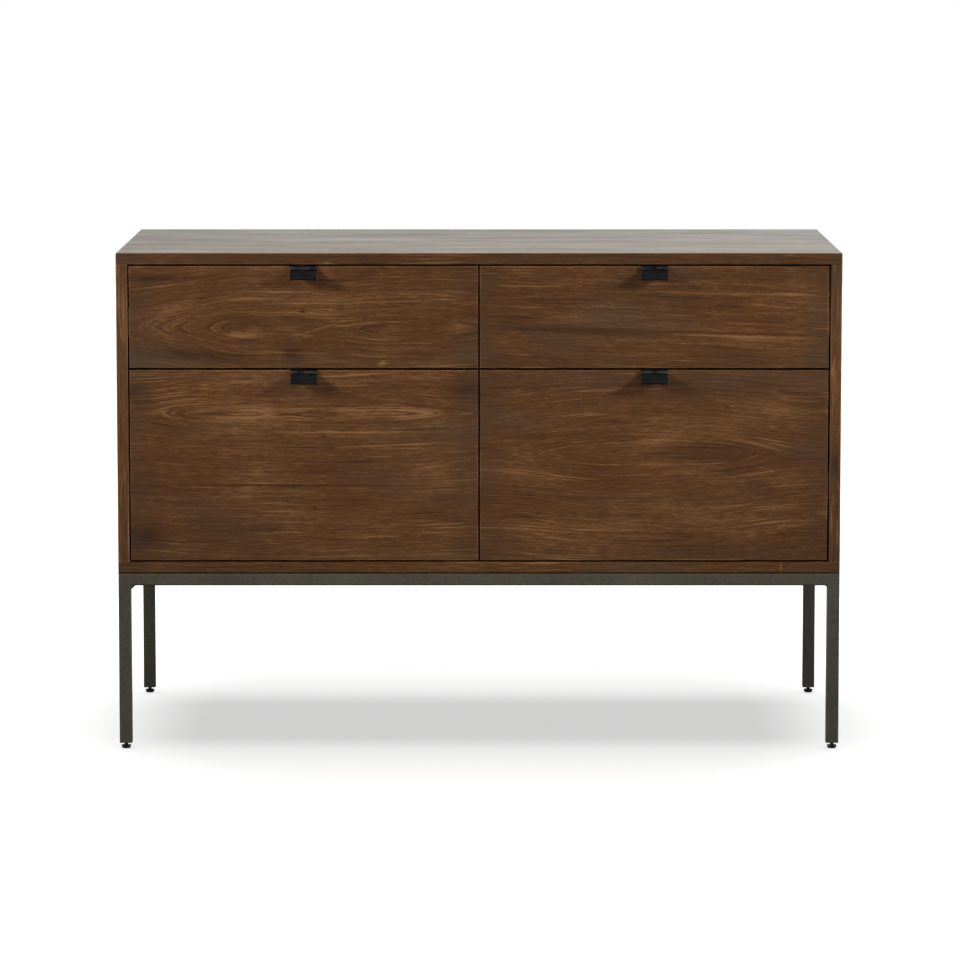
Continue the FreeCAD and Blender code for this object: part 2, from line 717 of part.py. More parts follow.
def box_end(label, rear, x, z, height, tails, slots):
    """Front or back of a drawer box, with sockets for the tails and the same groove."""
    body = new_body(label)
    pitch = f"({height} / {tails})"
    root = BOX_REAR_INNER if rear else "dims.box_wall"
    end = "dims.box_depth" if rear else "0"
    inward = -1 if rear else 1
    outline = sketch(body, f"{label}_outline", "XZ_Plane", end)
    rectangle(outline, f"-{BOX_HALF_WIDTH}", BOX_HALF_WIDTH, "0", height)
    pad(body, f"{label}_board", outline, "dims.box_wall", inward)
    for name, place in SIDES.items():
        socket = sketch(body, f"{label}_{name}_socket_outline", "YZ_Plane", f"{place} * {BOX_HALF_WIDTH}")
        tail_outline(socket, root, end, pitch)
        cut = pocket(body, f"{label}_{name}_socket", socket, "dims.box_wall", -place)
        repeat_up(body, f"{label}_{name}_sockets", cut, pitch, tails)
    groove = sketch(body, f"{label}_groove_outline", "XZ_Plane", root)
    rectangle(groove, f"-{GROOVE_HALF_WIDTH}", GROOVE_HALF_WIDTH, "dims.bottom_lift", GROOVE_TOP)
    body.Tip = pocket(body, f"{label}_groove", groove, "dims.groove_depth", -inward)
    if slots:
        seats = sketch(body, f"{label}_slot_outline", "XZ_Plane", root)
        for place in (-1, 1):
            middle = f"{place} * dims.file_rail_spacing / 2"
            half = "(dims.file_rail_thickness / 2 + dims.file_rail_gap)"
            floor = f"{height} + dims.file_rail_stand - dims.file_rail_height"
            over = f"{height} + dims.overrun"
            rectangle(seats, f"{middle} - {half}", f"{middle} + {half}", floor, over)
        body.Tip = pocket(body, f"{label}_slots", seats)
    return node(body, x=x, y=BOX_Y, z=z)


def box_bottom(label, x, z):
    """Thin bottom let into the grooves of all four walls."""
    body = new_body(label)
    outline = sketch(body, f"{label}_outline", "XY_Plane", "dims.bottom_lift")
    half = f"({GROOVE_HALF_WIDTH} - dims.groove_gap)"
    front = f"{GROOVE_FRONT} + dims.groove_gap"
    rectangle(outline, f"-{half}", half, front, f"{GROOVE_REAR} - dims.groove_gap")
    pad(body, f"{label}_board", outline, "dims.bottom_thickness")
    return node(body, x=x, y=BOX_Y, z=z)


def file_rails(label, side, z, height):
    """Flat bars from front to back, on edge in the slots of the box."""
    body = new_body(f"{label}_bar")
    outline = sketch(body, f"{label}_outline", "YZ_Plane")
    low = f"{height} + dims.file_rail_stand - dims.file_rail_height"
    rear = "dims.box_depth - dims.file_rail_end_gap"
    rectangle(outline, "dims.file_rail_end_gap", rear, low, f"{height} + dims.file_rail_stand")
    pad(body, f"{label}_strip", outline, "dims.file_rail_thickness", both_ways=True)
    spots = [
        (f"{side} * {BAY_X} + {place} * dims.file_rail_spacing / 2", BOX_Y, z, Y_AXIS, 0)
        for place in (-1, 1)
    ]
    return copies(label, body, spots)


def drawer(name, side, level, runner, member):
    """Builds one drawer with its front, pull, box and the moving parts of its slides."""
    front_z = LEVELS[level]["front_z"]
    front_height = LEVELS[level]["front_height"]
    height = f"dims.{level}_box_height"
    tails = f"dims.{level}_tails"
    front_x = f"{side} * {FRONT_X}"
    box_x = f"{side} * {BAY_X}"
    box_z = f"{front_z} + dims.box_lift"
    filing = level == "lower"
    drawer_front(f"{name}_front", front_x, front_z, front_height)
    drawer_pull(f"{name}_pull", front_x, f"{front_z} + {front_height}")
    for word, place in SIDES.items():
        box_side(f"{name}_box_{word}_side", place, box_x, box_z, height, tails)
    box_end(f"{name}_box_front", False, box_x, box_z, height, tails, filing)
    box_end(f"{name}_box_back", True, box_x, box_z, height, tails, filing)
    box_bottom(f"{name}_bottom", box_x, box_z)
    if filing:
        file_rails(f"{name}_file_rails", side, box_z, height)
    copies(f"{name}_slide_middle_members", runner, slide_places(side, level))
    copies(f"{name}_slide_drawer_members", member, slide_places(side, level))


def build():
    flat_panel("top_panel", 1, f"{INNER_BOTTOM_Z} + {INNER_HEIGHT}")
    flat_panel("bottom_panel", -1, INNER_BOTTOM_Z)
    for name, side in SIDES.items():
        side_panel(f"{name}_side_panel", side)
    centre_divider()
    back_panel()
    long_rail("front_base_rail", -1)
    long_rail("rear_base_rail", 1)
    for name, side in SIDES.items():
        side_rail(f"{name}_base_rail", side)
    for name, (side, end) in CORNERS.items():
        leg(f"{name}_leg", side, end)
    leg_end_plugs()
    base_mounting_screws()
    for name, (x, y) in zip(CORNERS, CORNER_PLACES):
        levelling_foot(f"{name}_levelling_foot", x, y)
    case_member, runner, drawer_member = slide_pieces()
    all_places = [
        place
        for level in LEVELS
        for side in SIDES.values()
        for place in slide_places(side, level)
    ]
    copies("slide_case_members", case_member, all_places)
    for level in LEVELS:
        for name, side in SIDES.items():
            drawer(f"{level}_{name}_drawer", side, level, runner, drawer_member)


def write():
    """Checks every object and shape, then writes each node to its own file."""
    doc.recompute()
    for item in doc.Objects:
        if {"Invalid", "Error"} & set(item.State):
            raise RuntimeError(f"{item.Label} did not build: {item.State}")
    for item in nodes:
        if item.Shape.isNull() or not item.Shape.isValid() or not item.Shape.Solids:
            raise RuntimeError(f"{item.Label} has no valid solid")
    os.makedirs("parts", exist_ok=True)
    for item in nodes:
        item.Shape.exportStep(f"parts/{item.Label}.step")
    print(len(nodes), "nodes,", sum(len(item.Shape.Solids) for item in nodes), "solids")


build()
write()
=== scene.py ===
"""Dresses the filing credenza: stained boards, black pulls, gunmetal base and studio."""
from typing import NamedTuple

import bmesh
import bpy
import numpy as np
from bpy.props import FloatProperty, FloatVectorProperty, IntProperty, PointerProperty
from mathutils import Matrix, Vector


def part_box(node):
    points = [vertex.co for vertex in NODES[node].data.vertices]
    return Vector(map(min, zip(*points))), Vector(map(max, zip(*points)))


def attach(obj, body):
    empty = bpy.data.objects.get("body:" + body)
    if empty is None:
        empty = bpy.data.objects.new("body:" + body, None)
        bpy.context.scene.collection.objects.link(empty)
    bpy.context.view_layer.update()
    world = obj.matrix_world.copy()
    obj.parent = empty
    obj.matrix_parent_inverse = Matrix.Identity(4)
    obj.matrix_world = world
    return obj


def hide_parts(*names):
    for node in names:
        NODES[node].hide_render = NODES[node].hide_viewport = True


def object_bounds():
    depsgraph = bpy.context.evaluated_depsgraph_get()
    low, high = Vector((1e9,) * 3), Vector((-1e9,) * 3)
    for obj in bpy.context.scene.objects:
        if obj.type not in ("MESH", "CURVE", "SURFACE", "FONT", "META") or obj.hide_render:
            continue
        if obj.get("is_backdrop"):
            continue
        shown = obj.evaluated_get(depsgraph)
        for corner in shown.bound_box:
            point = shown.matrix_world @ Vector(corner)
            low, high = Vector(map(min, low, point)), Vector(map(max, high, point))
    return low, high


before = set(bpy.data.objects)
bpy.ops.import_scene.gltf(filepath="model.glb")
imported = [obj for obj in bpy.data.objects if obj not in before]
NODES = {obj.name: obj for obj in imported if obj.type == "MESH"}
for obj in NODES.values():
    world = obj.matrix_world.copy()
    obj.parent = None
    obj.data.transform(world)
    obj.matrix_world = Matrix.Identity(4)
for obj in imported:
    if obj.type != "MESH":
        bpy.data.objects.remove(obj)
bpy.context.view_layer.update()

bl_info = {
    "name": "Filing credenza finish",
    "version": (1, 0, 0),
    "blender": (4, 5, 0),
    "location": "View3D > Sidebar > Credenza",
    "description": "Finishes and small hardware for a filing credenza on a tube base",
    "category": "Object",
}

DRAWERS = [f"{level}_{side}_drawer" for level in ("upper", "lower") for side in ("left", "right")]
CORNERS = [f"{end}_{side}" for end in ("front", "rear") for side in ("left", "right")]
AXES = "xyz"

# Noise cells in a metre along, across and through a board.
SLOW_CELLS = (1.1, 3.0, 9.0)
WAVER_CELLS = (8.0, 26.0, 26.0)
RIPPLE_CELLS = (24.0, 45.0, 45.0)
PATCH_CELLS = (5.5, 17.0, 17.0)
BREAK_CELLS = (17.0, 70.0, 70.0)
FIBRE_CELLS = (62.0, 640.0, 640.0)
PORE_CELLS = (130.0, 700.0, 700.0)
FLECK_CELLS = (120.0, 560.0, 560.0)
CLOUD_CELLS = (6.0, 15.0, 11.0)
GREY_CELLS = (3.2, 10.0, 10.0)
END_GRAIN_CELLS = (30.0, 900.0, 900.0)

# Noise cells in a metre of the grain's height field, across and along a board, then a shift.
BROAD_LINES = (48.0, 6.0, 1.6, 1.0)
RING_LINES = (150.0, 10.0, 3.4, 7.0)
HAIR_LINES = (500.0, 22.0, 20.0, 13.0)
ACCENT_LINES = (400.0, 8.0, 8.0, 21.0)
SHADE_LINES = (370.0, 8.0, 7.0, 33.0)

# Gain of the rings on a straight board and far from a heart line, and the distance from that
# line, over the depth of the pith, at which the figure fades.
STRAIGHT_RING_GAIN = 0.18
FAR_RING_GAIN = 0.16
FIGURE_FADE = 10 / 9
RING_LINE_HALF = 1 / 1300  # half width of a light ring line, in metres

# Where marks on a board begin and where they are full, in metres from its end, edge or face.
END_MARGIN = (0.06, 0.0)
LOWER_MARGIN = (0.045, 0.0)
END_GRAIN = (6e-4, 1e-4)
MARK_DEPTH = (0.003, 0.001)
ARRIS_WIDTH = (0.0024, 0.0008)
FRONT_SHEEN = (0.006, 0.001)
UPPER_FACE = (-4e-4, -1e-4)
REVEAL_DEPTH = (0.004, 0.002)
REVEAL_FACE = (7e-7, 1e-7)  # square metres

GAP_SHADE_HALF = 1 / 750  # half height of a painted shade line on metal, in metres
BEND_LIGHT_HALF = 1 / 700  # half height of the lighter band along a bend, partly rubbed wear and partly a painted highlight


def paint(red, green, blue):
    """Turns display values of 0 to 255 into the linear colour that a shader takes."""
    display = np.array([red, green, blue]) / 255
    linear = np.where(display <= 0.04045, display / 12.92, ((display + 0.055) / 1.055) ** 2.4)
    return tuple(float(part) for part in linear)


def tint(label, words, colour):
    """Property that holds a colour."""
    return FloatVectorProperty(
        name=label, description=words, default=colour, size=3, subtype="COLOR", min=0.0, max=1.0
    )


def length(label, words, size):
    """Property that holds a length in metres."""
    return FloatProperty(name=label, description=words, default=size, min=0.0, unit="LENGTH")


def power(label, words, watts):
    """Property that holds the power of a lamp."""
    return FloatProperty(name=label, description=words, default=watts, min=0.0, unit="POWER")


def share(label, words, amount):
    """Property that holds a share from none to all."""
    return FloatProperty(
        name=label, description=words, default=amount, min=0.0, max=1.0, subtype="FACTOR"
    )


class CREDENZA_PG_finish(bpy.types.PropertyGroup):
    """Colours and gloss of the boards, metal and plastic."""

    stain_mid: tint("Stain", "Middle tone of the stained boards", paint(81, 52, 28))
    stain_light: tint("Light grain", "Tone of the light grain lines", paint(124, 89, 58))
    stain_dark: tint("Dark grain", "Tone of the dark grain lines", paint(50, 31, 19))
    stain_grey: tint("Grey patches", "Tone of the greyer patches of the boards", paint(72, 58, 44))
    box_mid: tint("Box board", "Middle tone of the drawer boxes", paint(192, 168, 134))
    box_light: tint("Box light grain", "Light tone of the drawer boxes", paint(212, 192, 160))
    box_dark: tint("Box dark grain", "Dark tone of the drawer boxes", paint(160, 132, 98))
    box_grey: tint("Box grey", "Tone of the greyer patches of the boxes", paint(182, 162, 134))
    gunmetal: tint("Gunmetal", "Coating of the base", paint(88, 83, 72))
    pull_black: tint("Pull black", "Coating of the pulls", paint(8, 8, 9))
    zinc: tint("Zinc", "Plating of the slides", paint(188, 190, 192))
    screw_zinc: tint("Screw zinc", "Plating of the screws", paint(150, 149, 145))
    glide: tint("Glide", "Plastic of the glides", paint(24, 24, 24))
    # painted shade: colour laid on the board arrises beside a reveal, where the gap is in shade
    gap_shade: tint("Gap shade", "Dark edges of the boards beside a reveal", paint(12, 8, 5))
    lacquer: share("Lacquer roughness", "Roughness of the lacquer on the boards", 0.42)


class CREDENZA_PG_hardware(bpy.types.PropertyGroup):
    """Sizes of the small hardware."""

    pull_screw: length("Pull screw", "Width of a pull screw's head", 0.006)
    pull_screw_rise: length("Pull screw rise", "Height of a pull screw's head", 0.0006)
    pull_screw_pitch: length("Pull screw pitch", "Distance between the screws of a pull", 0.024)
    pull_screw_inset: length("Pull screw inset", "Screws to the rear edge of a pull", 0.0075)
    front_screw: length("Front screw", "Width of the heads that hold a front to its box", 0.0085)
    front_screw_rise: length("Front screw rise", "Height of those heads", 0.0022)
    thread_pitch: length("Thread pitch", "Rise of the foot's thread in a turn", 0.001)
    thread_depth: length("Thread depth", "Depth of the foot's thread", 0.00045)
    turns: IntProperty(name="Facets", description="Facets round a turned piece", default=48, min=12)


class CREDENZA_PG_studio(bpy.types.PropertyGroup):
    """Camera and lights."""

    distance: length("Distance", "Camera to the drawer fronts", 7.25)
    height: length("Height", "Camera above the floor", 1.27)
    aim: length("Aim", "Height on the fronts that the camera looks at", 0.4143)
    side: length("Side", "Camera to the right of the middle", 0.0015)
    lens: FloatProperty(
        name="Lens", description="Focal length in millimetres", default=180.0, unit="CAMERA"
    )
    sky: share("Sky", "Strength of the even light", 0.03)
    overhead: power("Overhead", "Power of the overhead panel", 378.0)
    key: power("Keys", "Power of each lamp beside the front", 6.15)
    rear: power("Rear", "Power of each lamp behind", 45.0)
    fill: power("Fill", "Power of the lamp in front", 12.0)


def settings(name):
    """One of the scene's groups of properties."""
    return getattr(bpy.context.scene, f"credenza_{name}")


class Wire:
    """An output socket; sums, products and powers of wires add Math nodes to the tree."""

    def __init__(self, finish, socket):
        self.finish = finish
        self.socket = socket

    def math(self, operation, *values):
        return self.finish.add("ShaderNodeMath", {"operation": operation}, dict(enumerate(values)))

    def __add__(self, other):
        return self.math("ADD", self, other)

    __radd__ = __add__

    def __sub__(self, other):
        return self.math("SUBTRACT", self, other)

    def __rsub__(self, other):
        return self.math("SUBTRACT", other, self)

    def __mul__(self, other):
        return self.math("MULTIPLY", self, other)

    __rmul__ = __mul__

    def __neg__(self):
        return self * -1.0

    def __pow__(self, other):
        return self.math("POWER", self, other)

    def bell(self, half=1.0):
        """Bell curve e to the minus x squared, x being the value over the half width."""
        scaled = self if half == 1.0 else self * (1.0 / half)
        return self.math("EXPONENT", -(scaled * scaled))

    def least(self, other):
        return self.math("MINIMUM", self, other)

    def ease(self, low, high, start=0.0, end=1.0):
        """Goes smoothly from start to end as the value goes from low to high."""
        return self.finish.add(
            "ShaderNodeMapRange",
            {"interpolation_type": "SMOOTHSTEP"},
            {"Value": self, "From Min": low, "From Max": high, "To Min": start, "To Max": end},
        )


class Finish:
    """A material whose nodes are added one at a time."""

    def __init__(self, name, target=None):
        self.material = target or bpy.data.materials.new(name)
        self.material.use_nodes = True
        self.tree = self.material.node_tree
        self.tree.nodes.clear()

    def add(self, kind, options=None, values=None, out=0):
        """Adds a node, sets its options, then links or sets its sockets."""
        node = self.tree.nodes.new(kind)
        for name, option in (options or {}).items():
            if name == "stops":
                ramp = node.color_ramp.elements
                while len(ramp) < len(option):
                    ramp.new(1.0)
                for stop, (place, colour) in zip(ramp, option):
                    stop.position = place
                    stop.color = (*colour, 1.0)
            else:
                setattr(node, name, option)
        for key, value in (values or {}).items():
            socket = node.inputs[key]
            if isinstance(value, Wire):
                self.tree.links.new(value.socket, socket)
            elif socket.type == "RGBA" and len(value) == 3:
                socket.default_value = (*value, 1.0)
            else:
                socket.default_value = value
        return Wire(self, node.outputs[out]) if len(node.outputs) else None

    def place(self):
        """Gives x, y and z of the surface in the shared frame."""
        where = self.add("ShaderNodeTexCoord", out="Object")
        parts = self.tree.nodes.new("ShaderNodeSeparateXYZ")
        self.tree.links.new(where.socket, parts.inputs[0])
        return [Wire(self, parts.outputs[index]) for index in range(3)]

    def vector(self, x, y, z):
        return self.add("ShaderNodeCombineXYZ", None, {"X": x, "Y": y, "Z": z})

    def noise(self, where, scale=1.0, detail=2.0, roughness=0.5):
        sockets = {"Vector": where, "Scale": scale, "Detail": detail, "Roughness": roughness}
        return self.add("ShaderNodeTexNoise", None, sockets)

    def mix(self, factor, low, high):
        """Colour from low to high."""
        return self.add("ShaderNodeMix", {"data_type": "RGBA"}, {0: factor, 6: low, 7: high}, 2)

    def bump(self, height, depth, strength=0.6):
        sockets = {"Height": height, "Distance": depth, "Strength": strength}
        return self.add("ShaderNodeBump", None, sockets)

    def surface(self, **sockets):
        """Ends the material with one shader; socket names use _ for a space."""
        named = {name.replace("_", " "): value for name, value in sockets.items()}
        shader = self.add("ShaderNodeBsdfPrincipled", None, named)
        self.add("ShaderNodeOutputMaterial", None, {"Surface": shader})
        return self.material


class Board(NamedTuple):
    """Grain and marks of one board."""

    grain: str  # the axes along, across and through the board
    seed: float  # where in the noise the board is cut
    heart: tuple = ()  # place of the heart line across the board, depth of the pith below it
    humps: tuple = ()  # ovals: place along the board, half length, rise of the pith
    rings: tuple = ()  # distances from the pith that have a light ring line
    line_gain: float = 0.3  # strength of those lines
    norm: float = 1.5  # 2 makes round ovals, less makes pointed ones
    figure: float = 0.2  # strength of the rings round the heart line
    tilt: float = 0.0  # slope of the grain
    knots: tuple = ()  # place along and across, size
    streaks: tuple = ()  # place along and across, slope, half length, half height, gain in tone
    chips_and_shade: tuple = ()  # marks on the front, small chips and a strip of painted shade: x, z, half width, half height, gain in tone
    reveals: tuple = ()  # faces beside a reveal, whose arrises are darkened as painted shade: axis and 0 for the lower, 1 for the upper one
    lift: float = 0.0  # change in tone
    gloss: float = 0.1
    coat_and_shade_on_top: bool = False  # a coat on the upper face, whose tone is also darkened as painted shade


class BoardFinish(Finish):
    """Stained board. The grain is the contour lines of a height field over the board. On a
    straight board the height is the distance across it plus a slope and slow waves. On a board
    with a heart it is a distance from the pith: the distance from the heart line and the depth
    of the pith, each to the power of the board's norm, added, and the root of that taken. The
    depth is less by a flat-topped hump for each oval, so the lines close into pointed ovals
    there. Noise drawn out along those lines gives rings, hairs and light accents. box holds
    the board's corners."""

    def __init__(self, name, board, box):
        super().__init__(name)
        self.board = board
        self.corners = [dict(zip(AXES, corner)) for corner in box]
        self.at = dict(zip(AXES, self.place()))
        self.along, self.across, through = (self.at[axis] for axis in board.grain)
        self.through = through - self.corners[0][board.grain[2]]
        self.depth_in = self.at["y"] - self.corners[0]["y"]
        seed = board.seed
        slow = self.cells(SLOW_CELLS, (seed * 3.7, seed, 0.0), detail=1.0) - 0.5
        self.waver = self.cells(WAVER_CELLS, (-seed, 0.0, seed)) - 0.5
        ripple = self.cells(RIPPLE_CELLS, (seed, 0.0, 0.0)) - 0.5
        level = self.across + self.along * board.tilt + self.through * 0.8
        self.edge = level + slow * 0.014 + self.waver * 0.003 + ripple * 0.0018
        self.patch = self.cells(PATCH_CELLS, (seed, 0.0, 0.0))
        self.cloud = self.cells(CLOUD_CELLS, (seed, 0.0, -seed), detail=3.0, roughness=0.55)

    def cells(self, scales, shifts, across=None, detail=2.0, roughness=0.5):
        """Noise with the given cells in a metre along, across and through the board."""
        places = (self.along, across or self.across, self.through)
        scaled = [place * scale for place, scale in zip(places, scales)]
        moved = [place + shift if shift else place for place, shift in zip(scaled, shifts)]
        return self.noise(self.vector(*moved), 1.0, detail, roughness)

    def inset(self, axis):
        """Distance from the nearer of the board's two faces across an axis."""
        low, high = (corner[axis] for corner in self.corners)
        return (self.at[axis] - low).least(high - self.at[axis])

    def contours(self):
        """Gives the height field, the gain of its rings, and the light ring lines."""
        board = self.board
        if not board.heart:
            return self.edge, STRAIGHT_RING_GAIN, 0.0
        line, pith = board.heart
        side = self.edge - line
        ring_gain = side.bell(pith * FIGURE_FADE) * board.figure + FAR_RING_GAIN
        for x, half_long, rise in board.humps:
            reach = (self.along - x) * (1.0 / half_long)
            pith = pith - (reach * reach).bell() * rise
        height = ((side * side) ** (board.norm / 2) + pith ** board.norm) ** (1.0 / board.norm)
        ring_lines = 0.0
        for ring in board.rings:
            ring_lines = (height - ring).bell(RING_LINE_HALF) + ring_lines
        broken = self.cells(BREAK_CELLS, (board.seed, 0.0, 0.0))
        return height, ring_gain, ring_lines * broken.ease(0.34, 0.66)

    def lines(self, height, cells, detail=2.0):
        """Noise drawn out along the contour lines, fading across and along them."""
        pitch, fade, run, shift = cells
        up = height * pitch + (self.board.seed + shift)
        where = self.vector(up, self.across * fade - shift, self.along * run + shift)
        return self.noise(where, 1.0, detail, 0.55)

    def grain(self):
        """Tone of the grain with its knots, pores and flecks. Keeps rings, fibre and pores."""
        board, seed = self.board, self.board.seed
        height, ring_gain, ring_lines = self.contours()
        knots = 0.0
        for x, z, size in board.knots:
            along, across = self.along - x, self.across - z
            height = height + along.bell(size * 2.4) * across.bell(size * 1.3) * (size * 0.9)
            knots = along.bell(size) * across.bell(size / 1.5) + knots
        broad = self.lines(height, BROAD_LINES)
        self.rings = self.lines(height, RING_LINES)
        hair = self.lines(height, HAIR_LINES)
        accent = self.lines(height, ACCENT_LINES, 1.0).ease(0.58, 0.68)
        shade = self.lines(height, SHADE_LINES, 1.0).ease(0.58, 0.68)
        self.fibre = self.cells(FIBRE_CELLS, (seed, 0.0, 0.0), self.edge, roughness=0.6)
        self.pores = self.cells(PORE_CELLS, (0.0, seed, 0.0), self.edge, 1.0).ease(0.66, 0.76)
        flecks = self.cells(FLECK_CELLS, (seed, 0.0, seed), self.edge, 1.0).ease(0.68, 0.78)
        parts = (  # each part of the grain, and how far it moves the tone
            (broad - 0.5, 0.18),
            (self.rings - 0.5, ring_gain),
            (hair - 0.5, 0.48),
            (self.fibre - 0.5, 0.7),
            (self.cloud - 0.5, 0.48),
            (ring_lines, board.line_gain),
            (accent * self.patch.ease(0.4, 0.6), 0.28),
            (shade * self.patch.ease(0.62, 0.4), -0.24),
            (knots, -0.4),
            (self.pores, -0.2),
            (flecks * self.patch.ease(0.45, 0.65), 0.3),
        )
        tone = 0.5 + board.lift
        for part, gain in parts:
            tone = part * gain + tone
        return tone

    def marks(self, tone):
        """Adds streaks, darker margins, end grain, chips, strips of painted shade and lighter
        arrises to the tone; the arrises are partly rubbed wear and partly a painted highlight.
        Keeps the margins and arrises."""
        board = self.board
        for x, z, slope, half_long, half_high, gain in board.streaks:
            along = self.along - x
            band = self.across - z - along * slope + self.waver * 0.006
            tone = tone + along.bell(half_long) * band.bell(half_high) * gain
        ends = self.inset(board.grain[0])
        above = self.across - self.corners[0][board.grain[1]]
        margin = ends.ease(*END_MARGIN) * 0.8 + above.ease(*LOWER_MARGIN) * 0.5
        self.margin = margin * self.cloud.ease(0.32, 0.6)
        tone = tone - self.margin * 0.16
        run, wide, deep = END_GRAIN_CELLS
        where = self.vector(self.across * wide, self.through * deep, self.along * run + board.seed)
        dots = (self.noise(where) - 0.5) * 0.5 + (self.cloud - 0.5) * 0.3
        tone = tone + ends.ease(*END_GRAIN) * (dots + (0.34 + board.lift) - tone)
        for x, z, half_wide, half_high, gain in board.chips_and_shade:
            spot = (self.at["x"] - x).bell(half_wide) * (self.at["z"] - z).bell(half_high)
            tone = tone + spot * self.depth_in.ease(*MARK_DEPTH) * gain
        rims = [self.inset(axis).ease(*ARRIS_WIDTH) for axis in AXES]
        self.arris = rims[0] * rims[1] + rims[1] * rims[2] + rims[2] * rims[0]
        # the lighter arrises are partly rubbed wear and partly a painted highlight
        return tone + self.arris * (self.patch.ease(0.35, 0.6) * 0.24)

    def polish(self):
        """Mask of the upper face, and its coat, stronger along the front edge."""
        upper = (self.at["z"] - self.corners[1]["z"]).ease(*UPPER_FACE)
        sheen = 0.315 + self.along * 0.15 + (self.rings - 0.5) * 1.25 + (self.cloud - 0.5) * 0.4
        return upper, (sheen + self.depth_in.ease(*FRONT_SHEEN) * 0.25) * upper

    def colour(self, tone, tones):
        """Stain of the tone, greyer in patches and margins, and darkened beside a reveal as painted
        shade of the gap.
        """
        board = self.board
        mid, light, dark, grey = tones
        stops = [(0.12, dark), (0.5, mid), (0.92, light)]
        stain = self.add("ShaderNodeValToRGB", {"stops": stops}, {"Fac": tone}, "Color")
        greys = self.cells(GREY_CELLS, (-board.seed, board.seed, 0.0)).ease(0.5, 0.74)
        stain = self.mix(greys * 0.4 + self.margin * 0.3, stain, grey)
        # painted shade: the arrises beside a reveal are darkened towards the gap colour
        reveal_shade = 0.0
        for axis, end in board.reveals:
            face = self.at[axis] - self.corners[int(end)][axis]
            reveal_shade = (face * face).ease(*REVEAL_FACE) + reveal_shade
        if board.reveals:
            amount = reveal_shade * self.depth_in.ease(*REVEAL_DEPTH) * 0.9
            stain = self.mix(amount, stain, tuple(settings("finish").gap_shade))
        return stain

    def finished(self, tones):
        """Ends the material in tones of middle, light, dark and grey stain."""
        tone, coat = self.marks(self.grain()), 0.0
        glaze = settings("finish").lacquer + (self.fibre - 0.5) * 0.2 + (self.rings - 0.5) * 0.25
        if self.board.coat_and_shade_on_top:
            upper, coat = self.polish()
            # painted shade: the upper face is darker in tone than the rest of the board
            tone = tone - upper * 0.24
        relief = self.rings * 0.3 + self.fibre * 0.5 - self.pores * 0.9
        return self.surface(
            Base_Color=self.colour(tone, tones),
            Roughness=glaze + self.pores * 0.1 - self.arris * 0.08,
            Specular_IOR_Level=self.board.gloss,
            Coat_Weight=coat,
            Coat_Roughness=0.2,
            Normal=self.bump(relief, 1e-4),
        )


def metal_finish(
    name, colour, roughness, metallic, specular=0.5, grain=(60.0, 60.0, 60.0), gap_shade=()
):
    """Coated or plated metal: soft clouds in the tone, fine specks, a slight skin, and dark
    lines of painted shade at given heights."""
    finish = Finish(name)
    x, y, z = finish.place()
    cloud = finish.noise(finish.vector(x, y, z), 7.0, 3.0)
    speck = finish.noise(finish.vector(x * grain[0], y * grain[1], z * grain[2]), 12.0)
    low = tuple(part * 0.82 for part in colour)
    high = tuple(min(1.0, part * 1.16) for part in colour)
    shaded = tuple(part * 0.15 for part in colour)
    tone = (cloud - 0.5) * 0.8 + (speck - 0.5) * 0.9 + 0.5
    coating = finish.mix(tone.ease(0.1, 0.9), low, high)
    for height in gap_shade:
        coating = finish.mix((z - height).bell(GAP_SHADE_HALF) * 0.8, coating, shaded)
    return finish.surface(
        Base_Color=coating,
        Roughness=roughness + (speck - 0.5) * 0.16 + (cloud - 0.5) * 0.1,
        Metallic=metallic,
        Specular_IOR_Level=specular,
        Normal=finish.bump(speck, 2e-5),
    )


def worn_and_highlit_black(name, colour, bends):
    """Black powder coat: a fine orange-peel skin, greyer along bends at given heights, partly
    rubbed wear and partly a painted highlight.
    """
    finish = Finish(name)
    x, y, z = finish.place()
    skin = finish.noise(finish.vector(x, y, z), 900.0)
    rub = finish.noise(finish.vector(x * 0.6, y, z), 160.0)
    wear = 0.06
    # along each bend the coat is lighter, partly as rubbed wear and partly as a painted highlight
    # of the bend
    for height in bends:
        wear = (z - height).bell(BEND_LIGHT_HALF) + wear
    grey = tuple(part * 6.0 + 0.034 for part in colour)
    return finish.surface(
        Base_Color=finish.mix(wear * rub.ease(0.25, 0.7), colour, grey),
        Roughness=0.5 + (skin - 0.5) * 0.2,
        Specular_IOR_Level=0.03,
        Normal=finish.bump(skin, 3e-5),
    )


def plastic_finish(name, colour):
    """Moulded plastic: fine spark-eroded skin with a little wear in the tone."""
    finish = Finish(name)
    x, y, z = finish.place()
    skin = finish.noise(finish.vector(x, y, z), 1800.0)
    wear = finish.noise(finish.vector(x, y, z), 90.0, 3.0)
    worn = tuple(part * 2.2 + 0.004 for part in colour)
    return finish.surface(
        Base_Color=finish.mix(wear.ease(0.5, 0.8, 0.0, 0.6), colour, worn),
        Roughness=0.55 + (skin - 0.5) * 0.2,
        Specular_IOR_Level=0.3,
        Normal=finish.bump(skin, 4e-5, 0.7),
    )


def dress(names, material):
    """Puts one material on CAD nodes."""
    for name in names:
        slots = NODES[name].data.materials
        slots.clear()
        slots.append(material)


def quads(rows, columns):
    """Faces of a grid whose columns close into a ring, as rows of four indices."""
    row, column = np.meshgrid(np.arange(rows - 1), np.arange(columns), indexing="ij")
    here = row * columns + column
    beside = row * columns + (column + 1) % columns
    return np.stack([here, beside, beside + columns, here + columns], -1).reshape(-1, 4)


def piece(name, points, faces, material, body):
    """Makes a smooth mesh object of an array of points and rows of faces, riding on a body."""
    mesh = bpy.data.meshes.new(name)
    mesh.from_pydata(points.reshape(-1, 3).tolist(), [], [face.tolist() for face in faces])
    mesh.validate()
    mesh.polygons.foreach_set("use_smooth", np.full(len(mesh.polygons), True))
    mesh.materials.append(material)
    made = bpy.data.objects.new(name, mesh)
    bpy.context.scene.collection.objects.link(made)
    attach(made, body)
    return made


